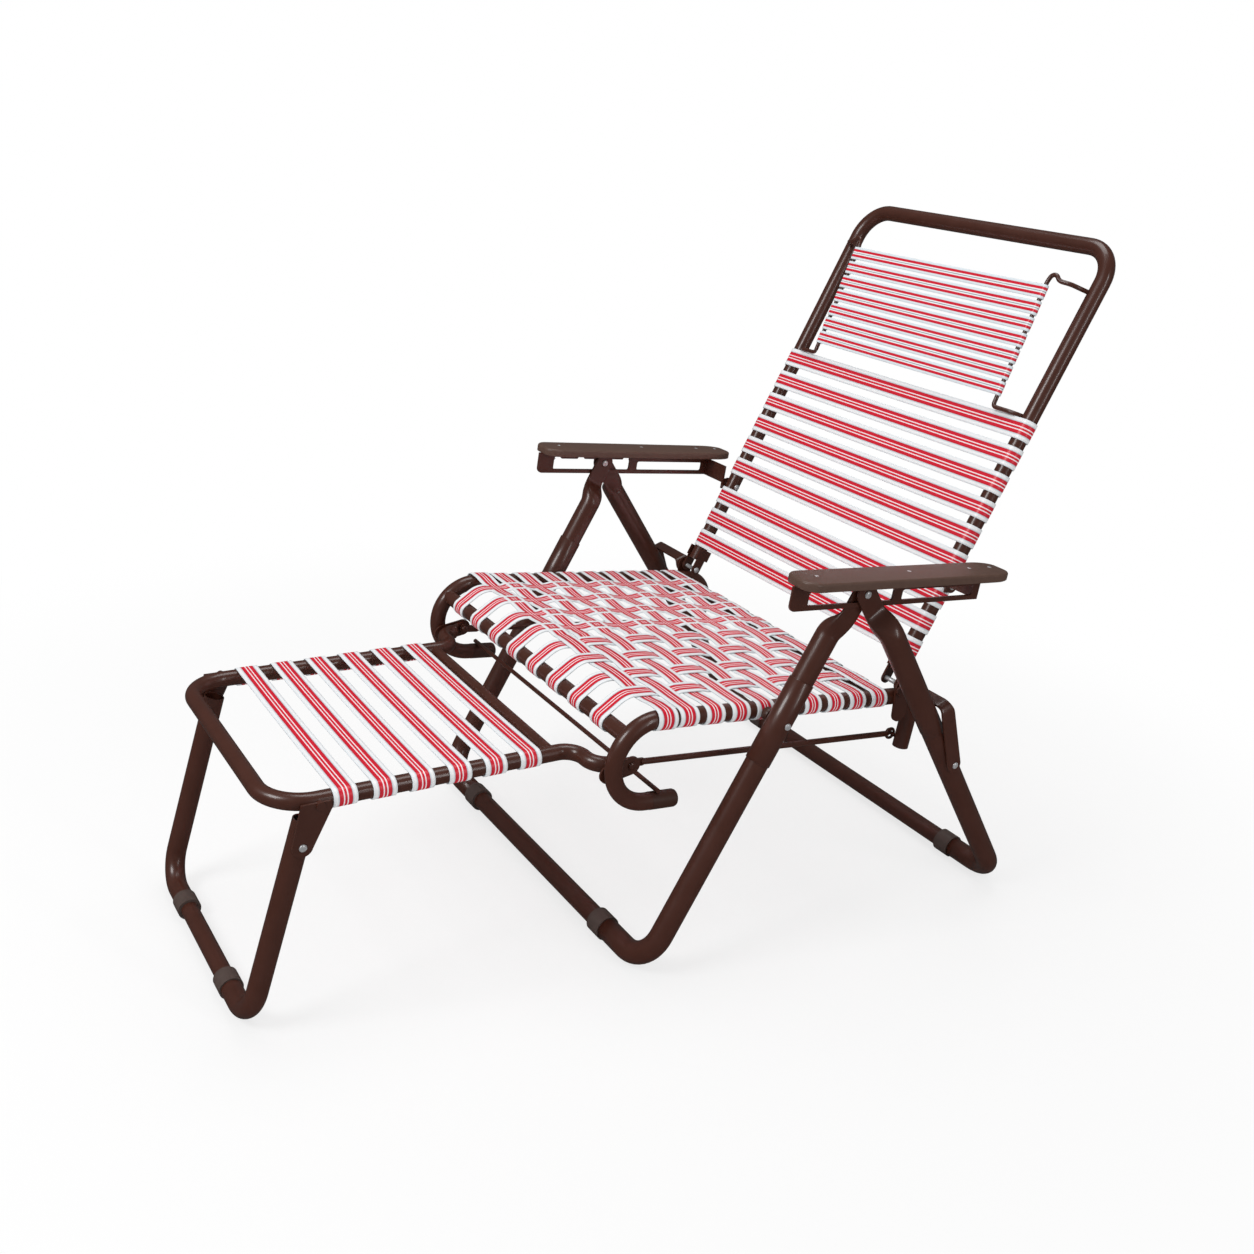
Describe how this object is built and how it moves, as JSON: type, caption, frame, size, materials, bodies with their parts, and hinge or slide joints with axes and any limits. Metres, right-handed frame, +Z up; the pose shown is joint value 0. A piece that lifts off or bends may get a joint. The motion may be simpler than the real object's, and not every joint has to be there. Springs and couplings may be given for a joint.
{
  "type": "folding reclining chair",
  "caption": "Folding webbed garden recliner with footrest, headrest, notched armrests and a brown steel tube frame.",
  "frame": {"origin": "on the floor, under the middle of the whole chair as it stands", "axes": "+Z up, the sitter faces -Y, +X to the sitter's left"},
  "size_m": [0.693, 1.1591, 0.9021],
  "materials": {
    "frame_paint": "satin",
    "glide_plastic": "matte",
    "webbing": "satin",
    "zinc": "satin",
    "pad_plastic": "satin"
  },
  "bodies": {
    "seat": {"seat_rail_left": "frame_paint", "seat_rail_right": "frame_paint", "front_cross_rail": "frame_paint", "rear_cross_rail": "frame_paint", "curl_cap_left": "glide_plastic", "curl_cap_right": "glide_plastic", "cross_wire": "frame_paint", "tie_rod_left": "frame_paint", "tie_rod_right": "frame_paint", "rod_hook_left": "frame_paint", "rod_hook_right": "frame_paint", "footrest_lug_left": "frame_paint", "footrest_lug_right": "frame_paint", "back_ear_left": "frame_paint", "back_ear_right": "frame_paint", "seat_straps_long": "webbing", "seat_straps_cross": "webbing"},
    "front_legs": {"front_leg_left": "frame_paint", "front_leg_right": "frame_paint", "front_floor_bar": "frame_paint", "front_glides": "glide_plastic", "leg_bolt_left": "zinc", "leg_bolt_right": "zinc"},
    "top_pins": {"top_pin_left": "zinc", "top_pin_right": "zinc"},
    "rear_legs": {"rear_leg_left": "frame_paint", "rear_leg_right": "frame_paint", "rear_floor_bar": "frame_paint", "rear_glides": "glide_plastic"},
    "links": {"link_left": "frame_paint", "link_right": "frame_paint", "link_bolt_left": "zinc", "link_bolt_right": "zinc"},
    "back_bolts": {"back_bolt_left": "zinc", "back_bolt_right": "zinc"},
    "back": {"back_frame": "frame_paint", "saddle_left": "frame_paint", "saddle_right": "frame_paint", "back_straps": "webbing", "headrest_wire_left": "frame_paint", "headrest_wire_right": "frame_paint", "headrest_straps": "webbing", "arm_stud_left": "zinc", "arm_stud_right": "zinc"},
    "arm_left": {"notch_rack_left": "frame_paint", "armrest_pad_left": "pad_plastic", "arm_bolt_left": "zinc"},
    "arm_right": {"notch_rack_right": "frame_paint", "armrest_pad_right": "pad_plastic", "arm_bolt_right": "zinc"},
    "footrest": {"footrest_frame": "frame_paint", "footrest_cross_bar": "frame_paint", "footrest_straps": "webbing", "footrest_rivets": "frame_paint", "prop_hinge_left": "frame_paint", "prop_hinge_right": "frame_paint"},
    "prop": {"prop_leg": "frame_paint", "prop_floor_bar": "frame_paint", "prop_glides": "glide_plastic", "prop_bolts": "zinc"}
  },
  "joints": [
    {"name": "fold", "type": "hinge", "parent": "seat", "child": "front_legs", "pos_m": [0, 0.06045, 0.32677], "axis": [1, 0, 0], "range_deg": [0, 50]},
    {"name": "rear_leg_fold", "type": "hinge", "parent": "front_legs", "child": "rear_legs", "pos_m": [0, 0.148, 0.492], "axis": [1, 0, 0], "range_deg": [-39.4, 0]},
    {"name": "link_fold", "type": "hinge", "parent": "seat", "child": "links", "pos_m": [0, 0.294, 0.323], "axis": [1, 0, 0], "range_deg": [-85.9, 0]},
    {"name": "back_fold", "type": "hinge", "parent": "seat", "child": "back_bolts", "pos_m": [0, 0.294, 0.323], "axis": [1, 0, 0], "range_deg": [0, 66.5]},
    {"name": "recline", "type": "hinge", "parent": "back_bolts", "child": "back", "pos_m": [0, 0.294, 0.323], "axis": [1, 0, 0], "range_deg": [-36, 16]},
    {"name": "arm_fold", "type": "hinge", "parent": "front_legs", "child": "top_pins", "pos_m": [0, 0.148, 0.492], "axis": [1, 0, 0], "range_deg": [-56.5, 0]},
    {"name": "arm_shift_left", "type": "hinge", "parent": "top_pins", "child": "arm_left", "pos_m": [0, 0.1089, -0.0065], "axis": [1, 0, 0], "range_deg": [-9.36, 4.16]},
    {"name": "arm_shift_right", "type": "hinge", "parent": "top_pins", "child": "arm_right", "pos_m": [0, 0.1089, -0.0065], "axis": [1, 0, 0], "range_deg": [-9.36, 4.16]},
    {"name": "footrest_swing", "type": "hinge", "parent": "seat", "child": "footrest", "pos_m": [0, -0.1195, 0.279], "axis": [1, 0, 0], "range_deg": [-15, 72]},
    {"name": "footrest_leg", "type": "hinge", "parent": "footrest", "child": "prop", "pos_m": [0, -0.507, 0.237], "axis": [1, 0, 0], "range_deg": [0, 100]}
  ],
  "couplings": [
    {"joint": "rear_leg_fold", "follows": "fold", "ratio": -0.788},
    {"joint": "link_fold", "follows": "fold", "ratio": -1.718},
    {"joint": "back_fold", "follows": "fold", "ratio": 1.33},
    {"joint": "arm_fold", "follows": "fold", "ratio": -1.13},
    {"joint": "arm_shift_left", "follows": "recline", "ratio": 0.26},
    {"joint": "arm_shift_right", "follows": "recline", "ratio": 0.26}
  ]
}
